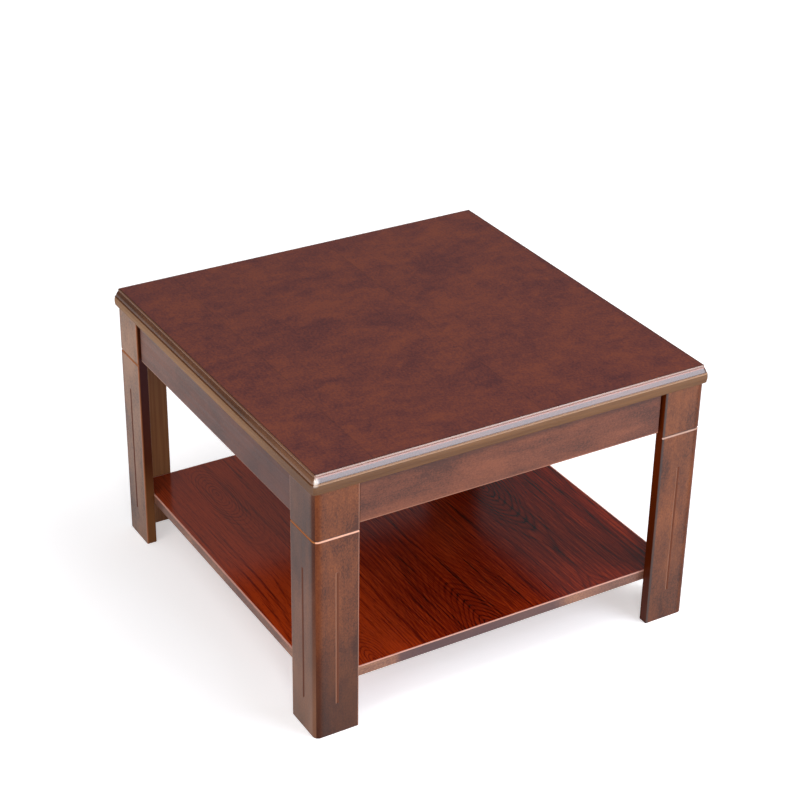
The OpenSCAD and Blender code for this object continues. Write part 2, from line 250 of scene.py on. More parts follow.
# Noises of a stained board: scale across and along the grain, detail, roughness and distortion
BOARD_CLOUDS = (24, 11, 3.0, 0.55, 0.4)
BOARD_STREAKS = (150, 3.5, 3.0, 0.6, 0.0)
BOARD_MOTTLE = (520, 330, 3.0, 0.7, 0.0)
BOARD_FIBRES = (1100, 40, 2.0, 0.65, 0.0)
# Shares of clouds, streaks and mottle in a board's tone, and its three colours' places in the tone
CLOUD_SHARE, STREAK_SHARE, MOTTLE_SHARE = 0.74, 0.26, 0.65
BOARD_TONE_PLACES = (0.35, 0.50, 0.66)
# How far fibres darken a board
FIBRE_SPAN = (0.35, 0.7)
FIBRE_SHARE = 0.18
# How far each step of a board's seed moves its noises
SEED_SHIFT = (1.37, 2.11, 0.73)


def stained_wood(name, grain, seed, tones):
    """Stained close-grained wood: soft clouds of stain, long tone streaks and fine fibres."""
    shader = Shader(name)
    shift = tuple(seed * step for step in SEED_SHIFT)
    noises = []
    for across, along, *texture in (BOARD_CLOUDS, BOARD_STREAKS, BOARD_MOTTLE, BOARD_FIBRES):
        scale = tuple(along if axis == grain else across for axis in (X, Y, Z))
        noises.append(shader.texture(Noise(scale, shift, *texture)))
    clouds, streaks, mottle, fibres = noises
    tone = shader.plus_share(streaks, STREAK_SHARE, shader.times(clouds, CLOUD_SHARE))
    tone = shader.sway(mottle, MOTTLE_SHARE, tone)
    colour = shader.ramp(tone, list(zip(BOARD_TONE_PLACES, tones)))
    dark = tones[0]
    grainy = shader.mix(shader.span(fibres, *FIBRE_SPAN, 0.0, FIBRE_SHARE), colour, dark)
    return shader, grainy, fibres, streaks


# Gloss of aprons and legs, their fibres' strength and depth, and the lacquer's roughness
FRAME_ROUGHNESS = (0.30, 0.42)
FRAME_BUMP = (0.08, 0.0003)
LACQUER_ROUGHNESS = 0.36


def finish_frame_wood(shader, colour, fibres, streaks, specular, coat=0.0):
    shader.bump(fibres, *FRAME_BUMP)
    roughness = shader.span(streaks, *NOISE_SPAN, *FRAME_ROUGHNESS)
    return shader.finish(
        colour, roughness, specular=specular, coat=coat, coat_roughness=LACQUER_ROUGHNESS
    )


FRONT_APRON_TONES = (srgb(80, 40, 28), srgb(113, 60, 40), srgb(136, 76, 50))
# The side aprons' tones are a darker copy of the front ones: painted shade for the sides
SIDE_APRON_TONES = (srgb(68, 34, 30), srgb(98, 53, 42), srgb(118, 66, 50))
FRONT_APRON_SPECULAR = 0.38
SIDE_APRON_SPECULAR = 0.30
# Painted highlight on the lower arris: its tone and share, and heights over which it starts and
# ends
APRON_ARRIS_HIGHLIGHT = srgb(172, 112, 84)
APRON_ARRIS_SHARE = 0.8
APRON_ARRIS_START = (0.0, 0.0003)
APRON_ARRIS_END = (0.0026, 0.0012)
# Painted shade under the moulding: its tone and share, and the drops at which it is gone and full
APRON_TOP_SHADE = srgb(66, 34, 26)
APRON_TOP_SHARE = 0.6
APRON_TOP_DROPS = (0.012, 0.004)
# Share of painted shade at the front end of a side apron, and where it starts and is full
APRON_FRONT_SHARE = 0.45
APRON_FRONT_Y = (0.18, -0.22)


def apron_wood(name, grain, seed, box):
    """Stained board with a painted highlight on its lower arris, painted shade under the moulding,
    and on a side apron painted shade towards its front end.
    """
    at_side = grain == Y
    tones = SIDE_APRON_TONES if at_side else FRONT_APRON_TONES
    shader, colour, fibres, streaks = stained_wood(name, grain, seed, tones)
    height = shader.axis(shader.place, Z)
    above = shader.less(height, box[0][Z])
    # Painted highlight along the lower arris
    highlight_mark = shader.times(
        shader.span(above, *APRON_ARRIS_END), shader.span(above, *APRON_ARRIS_START)
    )
    colour = shader.stain_and_light(APRON_ARRIS_SHARE, colour, APRON_ARRIS_HIGHLIGHT, highlight_mark)
    # Painted shade towards the front end of a side apron
    if at_side:
        y = shader.axis(shader.place, Y)
        at_front = shader.span(y, *APRON_FRONT_Y, 0.0, APRON_FRONT_SHARE)
        colour = shader.mix(at_front, colour, SIDE_APRON_TONES[0])
    # Painted shade under the moulding
    drop = shader.less(box[1][Z], height)
    shade = shader.span(drop, *APRON_TOP_DROPS, 0.0, APRON_TOP_SHARE)
    colour = shader.mix(shade, colour, APRON_TOP_SHADE)
    specular = SIDE_APRON_SPECULAR if at_side else FRONT_APRON_SPECULAR
    return finish_frame_wood(shader, colour, fibres, streaks, specular)


# Stain and painted light of a leg board. Its faces have three tones, its foot a share of another
# tone, which is painted shade on most boards and painted light on the front side boards, and its
# head a share of FOOT_DARK as painted shade. The corner, arris, flute and ring are explained below.
# ring_half_h is half the height of the pale line in the ring groove, and lacquer the coat weight of
# the faces
LegStainAndLight = namedtuple(
    "LegStainAndLight", "tones foot foot_share head_share corner arris flute ring ring_half_h lacquer"
)
# FOOT_DARK is painted shade at the feet and heads of legs, and also darkens face boards' inner
# edges towards the foot; FOOT_PALE is painted light at the feet of the front side boards
FOOT_DARK = srgb(40, 15, 8)
FOOT_PALE = srgb(150, 110, 84)
FACE_TONES = (srgb(76, 34, 16), srgb(115, 59, 28), srgb(142, 78, 38))
# The side boards' tones are a copy of the face boards' tones with painted shade and light for the
# way they face; the pale ones, on the back legs, are painted light
SIDE_TONES = (srgb(70, 40, 30), srgb(107, 65, 47), srgb(132, 86, 62))
PALE_SIDE_TONES = (srgb(92, 60, 46), srgb(134, 93, 67), srgb(158, 114, 86))
# Rounded outer corner: tone and share
FACE_CORNER = (srgb(112, 54, 24), 0.5)
SIDE_CORNER = (srgb(92, 42, 20), 0.55)
# Inner arris: tone and share, and the widths at which it is gone and full. It is a painted
# highlight on most boards and painted shade on the right face boards
ARRIS_HIGHLIGHT = (srgb(196, 140, 112), 0.6, (0.0020, 0.0010))
ARRIS_SHADE = (srgb(58, 47, 44), 0.8, (0.0046, 0.0026))
# Flanks of the upright groove: painted shade on the one that faces towards -X or -Y, and a painted
# highlight on the other
FACE_FLUTE = (srgb(106, 49, 17), srgb(150, 100, 72))
SIDE_FLUTE = (srgb(94, 44, 20), srgb(136, 92, 68))
# Line on the lower side of the ring groove: raw wood with a painted highlight, brightest on the
# left face boards, duller on the right ones and browner on the side boards
RING_LIGHT = srgb(246, 182, 150)
RING_DULL = srgb(196, 154, 132)
RING_BROWN = srgb(184, 112, 62)

LEFT_FACE_STAIN_AND_LIGHT = LegStainAndLight(
    tones=FACE_TONES,
    foot=FOOT_DARK,
    foot_share=0.66,
    head_share=0.0,
    corner=FACE_CORNER,
    arris=ARRIS_HIGHLIGHT,
    flute=FACE_FLUTE,
    ring=RING_LIGHT,
    ring_half_h=0.0009,
    lacquer=0.52,
)
RIGHT_FACE_STAIN_AND_LIGHT = LEFT_FACE_STAIN_AND_LIGHT._replace(
    foot_share=0.25, head_share=0.12, arris=ARRIS_SHADE, ring=RING_DULL
)
FRONT_SIDE_STAIN_AND_LIGHT = LegStainAndLight(
    tones=SIDE_TONES,
    foot=FOOT_PALE,
    foot_share=0.40,
    head_share=0.30,
    corner=SIDE_CORNER,
    arris=ARRIS_HIGHLIGHT,
    flute=SIDE_FLUTE,
    ring=RING_BROWN,
    ring_half_h=0.0008,
    lacquer=0.36,
)
BACK_SIDE_STAIN_AND_LIGHT = FRONT_SIDE_STAIN_AND_LIGHT._replace(
    tones=PALE_SIDE_TONES, foot=FOOT_DARK, foot_share=0.12, head_share=0.0
)

# Specular level under the lacquer, which is all that a board's bare edges have
BARE_SPECULAR = 0.12
LEG_W = 0.0635
# Heights between which the painted shade and light change towards the foot, and the painted shade
# towards the head
FOOT_HEIGHTS = (0.23, 0.04)
HEAD_HEIGHTS = (0.17, 0.27)
# Middle and half width of the corner's tone, from the board's outer edge
CORNER_MIDDLE = 0.0035
CORNER_HALF_W = 0.005
# Widths over which the corner loses its lacquer, and how much of it
CORNER_DULL_W = (0.016, 0.005)
CORNER_DULL = 0.8
# Parts of a board told by how far its surface turns outwards, and inwards for its back
FACE_TURN = (0.3, 0.6)
ARRIS_TURN = (0.2, 0.5)
BACK_TURN = (-0.5, -0.9)
# The inner edge, told by how far it turns to the table's middle
EDGE_TURN = (0.80, 0.97)
# Upright groove: half its width and a little more, and the lean that tells its flanks
FLUTE_REACH = (0.0033, 0.0030)
FLUTE_LEAN = (0.12, 0.35)
FLUTE_FLANKS = (-0.1, 0.1)
# Ring groove: its height, half its width and more, the lean that tells its lower and its upper
# side, the painted shade of its upper side, and how far below its middle the pale line is
RING_MIDDLE = 0.301
RING_REACH = 0.006
RING_LEAN_UP = (0.25, 0.45)
RING_LEAN_DOWN = (-0.25, -0.45)
RING_DARK = srgb(70, 32, 18)
RING_LINE_DROP = 0.0011
# Inner edge of a face board: its tone, and where and how much it darkens towards the foot
FACE_EDGE = srgb(100, 36, 2)
FACE_EDGE_HEIGHTS = (0.26, 0.12)
FACE_EDGE_SHARE = 0.45
# Inner edge of a side board: heights and tones, which are painted shade high up and painted light
# low down, the painted shade in the gap beside the apron, and a painted highlight on the arris
# beside the board's outer face, with the widths at which it is gone and full
SIDE_EDGE_TONES = (
    (0.04, srgb(122, 78, 42)),
    (0.14, srgb(76, 34, 16)),
    (0.26, srgb(66, 34, 34)),
)
SIDE_EDGE_HEAD = srgb(66, 28, 10)
SIDE_EDGE_HEAD_HEIGHTS = (0.309, 0.313)
SIDE_EDGE_ARRIS = srgb(168, 104, 66)
SIDE_EDGE_ARRIS_W = (0.0030, 0.0010)
SIDE_EDGE_ARRIS_SHARE = 0.9
# Paler tones on a leg board's back
LEG_BACK_TONES = (
    (0.30, srgb(134, 90, 56)),
    (0.50, srgb(154, 106, 68)),
    (0.70, srgb(176, 124, 78)),
)


def leg_edge_tone(shader, height, across, outer_face):
    """Tone of a leg board's inner edge: darker towards the foot on face boards, and painted shade
    and light on side boards.
    """
    if across == X:
        shade = shader.span(height, *FACE_EDGE_HEIGHTS, 0.0, FACE_EDGE_SHARE)
        return shader.mix(shade, FACE_EDGE, FOOT_DARK)
    # Painted shade high up and beside the apron, painted light low down, and a painted highlight on
    # the arris
    tone = shader.ramp(height, SIDE_EDGE_TONES)
    tone = shader.mix(shader.span(height, *SIDE_EDGE_HEAD_HEIGHTS), tone, SIDE_EDGE_HEAD)
    from_face = shader.distance(shader.axis(shader.place, X), outer_face)
    strip = shader.span(from_face, *SIDE_EDGE_ARRIS_W, 0.0, SIDE_EDGE_ARRIS_SHARE)
    return shader.mix(strip, tone, SIDE_EDGE_ARRIS)


def leg_wood(name, seed, box, across, stain_and_light):
    """Leg board: the line on its ring groove's lower side is raw wood with a painted highlight, and
    its upper side has painted shade; its upright groove has painted shade on one flank and a
    painted highlight on the other; its foot and head have painted shade, and the front side boards
    painted light at the foot; its inner edge has its own tones without lacquer, with painted shade
    and light on the side boards, and its back has paler tones."""
    outward = Y if across == X else X
    shader, colour, fibres, streaks = stained_wood(name, Z, seed, stain_and_light.tones)
    right_or_back = box[0][across] > 0
    front_or_left = box[0][outward] < 0
    inner_edge = box[0][across] if right_or_back else box[1][across]
    outer_face = box[0][outward] if front_or_left else box[1][outward]
    from_inner = shader.distance(shader.axis(shader.place, across), inner_edge)
    height = shader.axis(shader.place, Z)
    lean = shader.axis(shader.normal, across)
    turn_inward = shader.times(lean, -1.0 if right_or_back else 1.0)
    turn_outward = shader.times(
        shader.axis(shader.normal, outward), -1.0 if front_or_left else 1.0
    )
    turn_up = shader.axis(shader.normal, Z)
    face = shader.span(turn_outward, *FACE_TURN)

    corner_tone, corner_share = stain_and_light.corner
    corner = shader.times(shader.line(from_inner, LEG_W - CORNER_MIDDLE, CORNER_HALF_W), face)
    colour = shader.stain_and_light(corner_share, colour, corner_tone, corner)
    # Painted shade at the foot, painted light there on the front side boards, and painted shade at
    # the head
    at_foot = shader.span(height, *FOOT_HEIGHTS, 0.0, stain_and_light.foot_share)
    colour = shader.mix(at_foot, colour, stain_and_light.foot)
    at_head = shader.span(height, *HEAD_HEIGHTS, 0.0, stain_and_light.head_share)
    colour = shader.mix(at_head, colour, FOOT_DARK)
    # Inner arris: a painted highlight, and painted shade on the right face boards
    arris_tone, arris_share, arris_w = stain_and_light.arris
    arris = shader.times(
        shader.span(from_inner, *arris_w), shader.span(turn_outward, *ARRIS_TURN)
    )
    colour = shader.stain_and_light(arris_share, colour, arris_tone, arris)

    # Upright groove: painted shade on one flank, a painted highlight on the other
    leaning = shader.span(shader.maths("ABSOLUTE", turn_inward), *FLUTE_LEAN)
    in_flute = shader.span(shader.distance(from_inner, LEG_W / 2), *FLUTE_REACH)
    flank = shader.times(shader.times(leaning, face), in_flute)
    flute_tone = shader.mix(shader.span(lean, *FLUTE_FLANKS), *stain_and_light.flute)
    colour = shader.mix(flank, colour, flute_tone)

    # Ring groove: a pale line with a painted highlight on its lower side, painted shade on its
    # upper side
    near_ring = shader.line(height, RING_MIDDLE, RING_REACH)
    lower_side = shader.times(shader.span(turn_up, *RING_LEAN_UP), near_ring)
    upper_side = shader.times(shader.span(turn_up, *RING_LEAN_DOWN), near_ring)
    highlight_mark = shader.line(height, RING_MIDDLE - RING_LINE_DROP, stain_and_light.ring_half_h)
    colour = shader.mix(shader.times(lower_side, highlight_mark), colour, stain_and_light.ring)
    colour = shader.mix(upper_side, colour, RING_DARK)

    on_edge = shader.span(turn_inward, *EDGE_TURN)
    edge_tone = leg_edge_tone(shader, height, across, outer_face)
    colour = shader.mix(on_edge, colour, edge_tone)
    back_tone = shader.ramp(streaks, LEG_BACK_TONES)
    colour = shader.mix(shader.span(turn_outward, *BACK_TURN), colour, back_tone)

    from_corner = shader.less(LEG_W, from_inner)
    dull = shader.span(from_corner, *CORNER_DULL_W, 0.0, CORNER_DULL)
    bare = shader.maths("MAXIMUM", on_edge, dull)
    lacquer = shader.span(bare, 0.0, 1.0, stain_and_light.lacquer, 0.0)
    return finish_frame_wood(shader, colour, fibres, streaks, BARE_SPECULAR, lacquer)


# Stain and painted light of an edge moulding: tones of band and nosing, tones of the thin parts
# between them, and the coat weights of band and nosing. The side tones are lighter copies of the
# front ones, painted light; the front bead and groove tones are painted highlights, and the side
# groove's tone is painted shade
MouldingStainAndLight = namedtuple("MouldingStainAndLight", "band nosing bead step groove band_coat nosing_coat")
FRONT_MOULDING = MouldingStainAndLight(
    band=(srgb(66, 36, 24), srgb(86, 48, 34), srgb(106, 62, 42)),
    nosing=(srgb(88, 54, 30), srgb(112, 74, 42), srgb(132, 90, 54)),
    bead=srgb(176, 128, 104),
    step=srgb(172, 92, 52),
    groove=srgb(186, 148, 118),
    band_coat=0.88,
    nosing_coat=0.26,
)
SIDE_MOULDING = MouldingStainAndLight(
    band=(srgb(80, 48, 28), srgb(100, 62, 38), srgb(122, 80, 50)),
    nosing=(srgb(120, 84, 50), srgb(142, 102, 66), srgb(160, 118, 78)),
    bead=srgb(126, 84, 58),
    step=srgb(112, 70, 44),
    groove=srgb(104, 60, 24),
    band_coat=0.45,
    nosing_coat=0.25,
)
NOSING_TONE_PLACES = (0.25, 0.5, 0.75)
# Drop below the top, half height and share of the bead, the step under it, and the groove over
# the nosing
BEAD = (0.0012, 0.0010, 0.7)
STEP = (0.0036, 0.0010, 0.7)
GROOVE = (0.0114, 0.0010, 0.9)
MOULDING_ROUGHNESS = (0.30, 0.40)
MOULDING_BUMP = (0.05, 0.0003)
MOULDING_COAT_ROUGHNESS = 0.12
MOULDING_COAT_IOR = 2.0
# Front end of a side moulding: where its tone changes, and the share and tones it changes to
FRONT_END_Y = (-0.06, -0.27)
FRONT_END_SHARE = 0.65
FRONT_END_BAND = srgb(144, 102, 74)
FRONT_END_NOSING = srgb(84, 58, 48)
# Painted highlight where the front moulding's band meets the left one: its place, the distances at
# which it is gone and full, and its tone
GLINT_CORNER = (-0.2955, -0.2985, 0.3895)
GLINT_REACH = (0.0085, 0.0085 / 3)
GLINT_TONE = srgb(242, 228, 216)


def moulding_wood(name, grain, seed, stain_and_light):
    """Glossy moulding: brown band, tan nosing, own tones in its bead, step and groove, with painted
    highlights on the front bead and groove and painted shade in the side groove, and a painted
    highlight at the front left corner.
    """
    shader, colour, fibres, streaks = stained_wood(name, grain, seed, stain_and_light.band)
    drop = shader.less(TABLE_TOP, shader.axis(shader.place, Z))
    groove_drop, groove_half_h, _ = GROOVE
    nosing = shader.span(drop, groove_drop, groove_drop + groove_half_h)
    tan = shader.ramp(streaks, list(zip(NOSING_TONE_PLACES, stain_and_light.nosing)))
    if grain == Y:
        y = shader.axis(shader.place, Y)
        front_end = shader.span(y, *FRONT_END_Y, 0.0, FRONT_END_SHARE)
        colour = shader.mix(front_end, colour, FRONT_END_BAND)
        tan = shader.mix(front_end, tan, FRONT_END_NOSING)
    colour = shader.mix(nosing, colour, tan)
    # Bead, step and groove: painted highlights on the front bead and groove, painted shade in the
    # side groove
    for (place, half_h, share), tone in (
        (BEAD, stain_and_light.bead),
        (STEP, stain_and_light.step),
        (GROOVE, stain_and_light.groove),
    ):
        colour = shader.stain_and_light(share, colour, tone, shader.line(drop, place, half_h))
    # Painted highlight at the front left corner
    if grain == X:
        from_corner = shader.vector_maths("DISTANCE", shader.place, GLINT_CORNER)["Value"]
        highlight_mark = shader.span(from_corner, *GLINT_REACH)
        colour = shader.mix(highlight_mark, colour, GLINT_TONE)
    shader.bump(fibres, *MOULDING_BUMP)
    roughness = shader.span(streaks, *NOISE_SPAN, *MOULDING_ROUGHNESS)
    coat = shader.span(nosing, 0.0, 1.0, stain_and_light.band_coat, stain_and_light.nosing_coat)
    return shader.finish(
        colour,
        roughness,
        specular=0.0,
        coat=coat,
        coat_roughness=MOULDING_COAT_ROUGHNESS,
        coat_ior=MOULDING_COAT_IOR,
    )


TOP_DARK = srgb(78, 33, 33)
TOP_STOPS = ((0.36, TOP_DARK), (0.51, srgb(98, 45, 37)), (0.70, srgb(118, 57, 37)))
TOP_CLOUDS = Noise((11, 14, 13), (0, 0, 0), 3.0, 0.5, 0.5)
TOP_MOTTLE = Noise((38, 60, 55), (3, 1, 0), 2.0, 0.5, 0.3)
TOP_SPECKLE = Noise((330, 260, 300), (1, 4, 0), 3.0, 0.75)
TOP_STREAKS = Noise((300, 9, 9), (0, 2, 5), 3.0, 0.6)
TOP_FIBRES = Noise((1300, 60, 60), (0, 0, 0), 2.0, 0.6)
# Shares of these noises, and of a leaf's own tone, in the veneer's tone
TOP_CLOUD_SHARE = 0.50
TOP_MOTTLE_SHARE = 0.36
TOP_SPECKLE_SHARE = 0.85
TOP_STREAK_SHARE = 0.14
TOP_LEAF_SHARE = 0.05
TOP_FIBRE_SPAN = (0.4, 0.7)
TOP_FIBRE_SHARE = 0.14
# Leaves of veneer: their width, where the first seam is, how far apart their clouds lie, and the
# rate, start and size of the wave whose fraction is a leaf's tone
TOP_LEAF_W = 0.248
TOP_FIRST_SEAM = -0.211
LEAF_CLOUD_SHIFT = 7.3
LEAF_WAVE_RATE, LEAF_WAVE_START, LEAF_WAVE_SIZE = 12.7, 3.1, 43.7
# Dark seams, and painted shade along the panel's edge where the moulding meets it, and where the
# latter starts and is full
TOP_SEAM_AND_SHADE = srgb(54, 20, 16)
SEAM_W = 0.0012
SEAM_SHARE = 0.35
PANEL_HALF = 0.292
PANEL_RIM = (PANEL_HALF - 0.0016, PANEL_HALF - 0.0016 / 3)
PANEL_RIM_SHARE = 0.45
TOP_BUMP = (0.05, 0.0002)
TOP_ROUGHNESS = (0.38, 0.40)
TOP_SPECULAR = 0.30


def top_veneer():
    """Cloudy stained veneer, laid in leaves that meet along seams from front to back."""
    shader = Shader("top_veneer")
    x = shader.axis(shader.place, X)
    y = shader.axis(shader.place, Y)
    leaf_place = shader.maths("DIVIDE", shader.less(x, TOP_FIRST_SEAM), TOP_LEAF_W)
    leaf = shader.maths("FLOOR", leaf_place)
    leaf_wave = shader.maths("SINE", shader.plus_share(leaf, LEAF_WAVE_RATE, LEAF_WAVE_START))
    leaf_tone = shader.maths("FRACT", shader.times(leaf_wave, LEAF_WAVE_SIZE))
    leaf_shift = shader.join(0, shader.times(leaf, LEAF_CLOUD_SHIFT), leaf)
    clouds = shader.texture(TOP_CLOUDS, leaf_shift)
    mottle = shader.texture(TOP_MOTTLE)
    fibres = shader.texture(TOP_FIBRES)
    tone = shader.plus_share(clouds, TOP_CLOUD_SHARE, shader.times(mottle, TOP_MOTTLE_SHARE))
    tone = shader.plus_share(shader.texture(TOP_STREAKS), TOP_STREAK_SHARE, tone)
    tone = shader.sway(shader.texture(TOP_SPECKLE), TOP_SPECKLE_SHARE, tone)
    tone = shader.plus_share(leaf_tone, TOP_LEAF_SHARE, tone)
    colour = shader.ramp(tone, TOP_STOPS)
    grain = shader.span(fibres, *TOP_FIBRE_SPAN, 0.0, TOP_FIBRE_SHARE)
    colour = shader.mix(grain, colour, TOP_DARK)
    from_seam = shader.times(shader.maths("PINGPONG", leaf_place, 0.5), TOP_LEAF_W)
    seam = shader.span(from_seam, 0, SEAM_W, SEAM_SHARE, 0.0)
    # Painted shade along the panel's edge, mixed in with the dark seams
    furthest = shader.maths("MAXIMUM", shader.maths("ABSOLUTE", x), shader.maths("ABSOLUTE", y))
    rim = shader.span(furthest, *PANEL_RIM, 0.0, PANEL_RIM_SHARE)
    colour = shader.mix(shader.maths("MAXIMUM", seam, rim), colour, TOP_SEAM_AND_SHADE)
    shader.bump(fibres, *TOP_BUMP)
    roughness = shader.span(mottle, *NOISE_SPAN, *TOP_ROUGHNESS)
    return shader.finish(colour, roughness, specular=TOP_SPECULAR)


SHELF_DARK = srgb(34, 5, 2)
SHELF_STOPS = ((0.18, SHELF_DARK), (0.50, srgb(110, 22, 3)), (0.86, srgb(172, 56, 13)))
SHELF_FADED = srgb(130, 78, 56)
SHELF_WANDER_X = Noise((10, 4, 1), (4, 1, 0), 3.0, 0.55)
SHELF_WANDER_Y = Noise((14, 7, 1), (7, 3, 0), 2.0, 0.5)
SHELF_RIPPLE = Noise((150, 50, 1), (0, 3, 0), 2.0, 0.6)
SHELF_BREAKS = Noise((90, 26, 1), (6, 2, 0), 2.0, 0.6)
SHELF_STREAKS = Noise((640, 14, 7), (1, 0, 0), 3.0, 0.72)
SHELF_DARK_LINES = Noise((210, 4, 7), (3, 1, 0), 2.0, 0.6)
SHELF_BANDS = Noise((24, 2.0, 1), (2, 5, 0), 3.0, 0.55)
SHELF_PATCHES = Noise((11, 7, 1), (5, 2, 0), 2.0, 0.5)
SHELF_PORES = Noise((1500, 90, 50), (0, 0, 0), 1.0, 0.5)
# Scales along and across the rings, layer, detail and roughness of the noises that make rings
# uneven and give each its own tone
UNEVEN_RINGS = (0.33, 9.0, 5.0, 2.0, 0.6)
RING_TONES = (0.6, 6.0, 0, 2.0, 0.6)
# How far the figures wander and the rings ripple
WANDER_X, WANDER_Y = 0.020, 0.035
RIPPLE = 0.0016
# Figure: the x of its axis, the y of an eye on it, the distance from eye to eye, its slope, how
# pointed it is, and how narrow its rings are
FIGURES = (
    (-0.198, 0.189, 0.47, 0.34, 0.0, 1.55),
    (-0.024, -0.300, 0.52, 0.42, 0.7, 1.0),
    (0.157, 0.020, 0.42, 0.36, 0.3, 1.0),
)
GROWTH_RING = 0.0025
UNEVENNESS = 2.0
LATE_WOOD_SHARPNESS = 3.0
# Late wood is weaker where the noise of breaks is low: that noise, and the strength
BREAK_SPAN = (0.30, 0.56, 0.6, 1.0)
# Late wood is weaker far from the figures: distances from their middle, and the strength
FIGURE_REACH = (0.056, 0.032, 0.30, 1.0)
LATE_WOOD_STRENGTH = (0.35, 0.65, 0.30, 0.50)
# Wide dark rings of the bold figure at the front left: their rate, sharpness and strength, the
# figure's place and reach, and how much lighter it is
WIDE_RING_RATE = 0.30
WIDE_RING_SHARPNESS = 2.0
WIDE_RING_STRENGTH = 0.36
BOLD_X, BOLD_Y = -0.245, -0.12
BOLD_REACH_X = (0.06, 0.02)
BOLD_REACH_Y = (0.16, 0.05)
BOLD_LIGHTER = 0.16
# Tone before rings, share of streaks in it far from and in the figures, and the other shares
SHELF_TONE = 0.58
STREAK_SHARES = (0.3, 1.0, 1.20, 0.60)
DARK_LINES = (0.56, 0.68, 0.0, 0.20)
RING_TONE_SHARE = 0.26
BAND_SHARE = 0.22
# The left part is lighter, and faded at its back; the back right is darker
LEFT_X = (-0.07, -0.16)
LEFT_LIGHTER = 0.24
FADED_Y = (-0.10, 0.10)
FADED_SHARE = 0.20
BACK_RIGHT = (0.05, 0.28, 0.0, 0.12)
PORE_SPAN = (0.58, 0.70, 0.0, 0.5)
SHELF_BUMP = (0.03, 0.0002)
SHELF_ROUGHNESS = 0.4
SHELF_COAT_ROUGHNESS = 0.16
SHELF_COAT_IOR = 1.42


def figure_depth(shader, x, y):
    """Distance from the middle of the nearest figure."""
    depth = None
    for axis_x, eye_y, spacing, slope, pointed, narrow in FIGURES:
        turn = shader.times(shader.less(y, eye_y), math.pi / spacing)
        level = shader.times(shader.maths("SINE", turn), slope * spacing / math.pi)
        across = shader.less(x, axis_x)
        square = shader.plus_share(across, across, shader.times(level, level))
        product = shader.maths("ABSOLUTE", shader.times(level, across))
        square = shader.plus_share(product, pointed, square)
        distance = shader.times(shader.maths("SQRT", square), narrow)
        depth = distance if depth is None else shader.maths("MINIMUM", depth, distance)
    return depth


def ring_noise(shader, rings, y, kind):
    """Noise that runs along the rings."""
    ring_scale, y_scale, layer, detail, roughness = kind
    place = shader.join(shader.times(rings, ring_scale), shader.times(y, y_scale), layer)
    return shader.noise(place, detail, roughness)


def zigzag(shader, value, sharpness):
    """A line at each odd whole value, the thinner the sharper."""
    return shader.maths("POWER", shader.maths("PINGPONG", value, 1.0), sharpness)


def shelf_veneer():
    """Flat-sawn veneer: growth rings that run from front to back and close into eyes and arches."""
    shader = Shader("shelf_veneer")
    plain_x = shader.axis(shader.place, X)
    plain_y = shader.axis(shader.place, Y)
    x = shader.sway(shader.texture(SHELF_WANDER_X), WANDER_X, plain_x)
    y = shader.sway(shader.texture(SHELF_WANDER_Y), WANDER_Y, plain_y)
    depth = shader.sway(shader.texture(SHELF_RIPPLE), RIPPLE, figure_depth(shader, x, y))
    rings = shader.maths("DIVIDE", depth, GROWTH_RING)
    rings = shader.sway(ring_noise(shader, rings, y, UNEVEN_RINGS), UNEVENNESS, rings)

    in_figure = shader.span(depth, *FIGURE_REACH)
    late_wood = zigzag(shader, rings, LATE_WOOD_SHARPNESS)
    late_wood = shader.times(late_wood, shader.span(shader.texture(SHELF_BREAKS), *BREAK_SPAN))
    late_wood = shader.times(late_wood, in_figure)
    strength = shader.span(shader.texture(SHELF_PATCHES), *LATE_WOOD_STRENGTH)
    wide_rings = zigzag(shader, shader.times(rings, WIDE_RING_RATE), WIDE_RING_SHARPNESS)
    bold = shader.times(
        shader.span(shader.distance(plain_x, BOLD_X), *BOLD_REACH_X),
        shader.span(shader.distance(plain_y, BOLD_Y), *BOLD_REACH_Y),
    )

    streak_share = shader.span(in_figure, *STREAK_SHARES)
    tone = shader.sway(shader.texture(SHELF_STREAKS), streak_share, SHELF_TONE)
    tone = shader.less(tone, shader.span(shader.texture(SHELF_DARK_LINES), *DARK_LINES))
    tone = shader.maths("ADD", tone, shader.span(plain_x, *LEFT_X, 0.0, LEFT_LIGHTER))
    towards_back_right = shader.maths("ADD", plain_x, plain_y)
    tone = shader.less(tone, shader.span(towards_back_right, *BACK_RIGHT))
    tone = shader.less(tone, shader.times(late_wood, strength))
    tone = shader.less(tone, shader.times(wide_rings, shader.times(bold, WIDE_RING_STRENGTH)))
    tone = shader.sway(ring_noise(shader, rings, y, RING_TONES), RING_TONE_SHARE, tone)
    tone = shader.sway(shader.texture(SHELF_BANDS), BAND_SHARE, tone)
    tone = shader.plus_share(bold, BOLD_LIGHTER, tone)
    colour = shader.ramp(tone, SHELF_STOPS)
    pores = shader.texture(SHELF_PORES)
    colour = shader.mix(shader.span(pores, *PORE_SPAN), colour, SHELF_DARK)
    faded = shader.times(
        shader.span(plain_x, *LEFT_X), shader.span(plain_y, *FADED_Y, 0.0, FADED_SHARE)
    )
    colour = shader.mix(faded, colour, SHELF_FADED)
    shader.bump(pores, *SHELF_BUMP)
    return shader.finish(
        colour,
        SHELF_ROUGHNESS,
        specular=0.0,
        coat=1.0,
        coat_roughness=SHELF_COAT_ROUGHNESS,
        coat_ior=SHELF_COAT_IOR,
    )


EDGE_BAND_TONES = (srgb(104, 68, 58), srgb(142, 96, 76), srgb(178, 126, 94))
# Stretch of the band that is darker: where it starts and ends, its tone, and its share on the front
# and back bands and on the side ones
BAND_SHADE_START = (-0.171, -0.159)
BAND_SHADE_END = (0.115, 0.075)
BAND_SHADE = srgb(84, 58, 60)
FRONT_BAND_SHARE, SIDE_BAND_SHARE = 0.85, 0.25
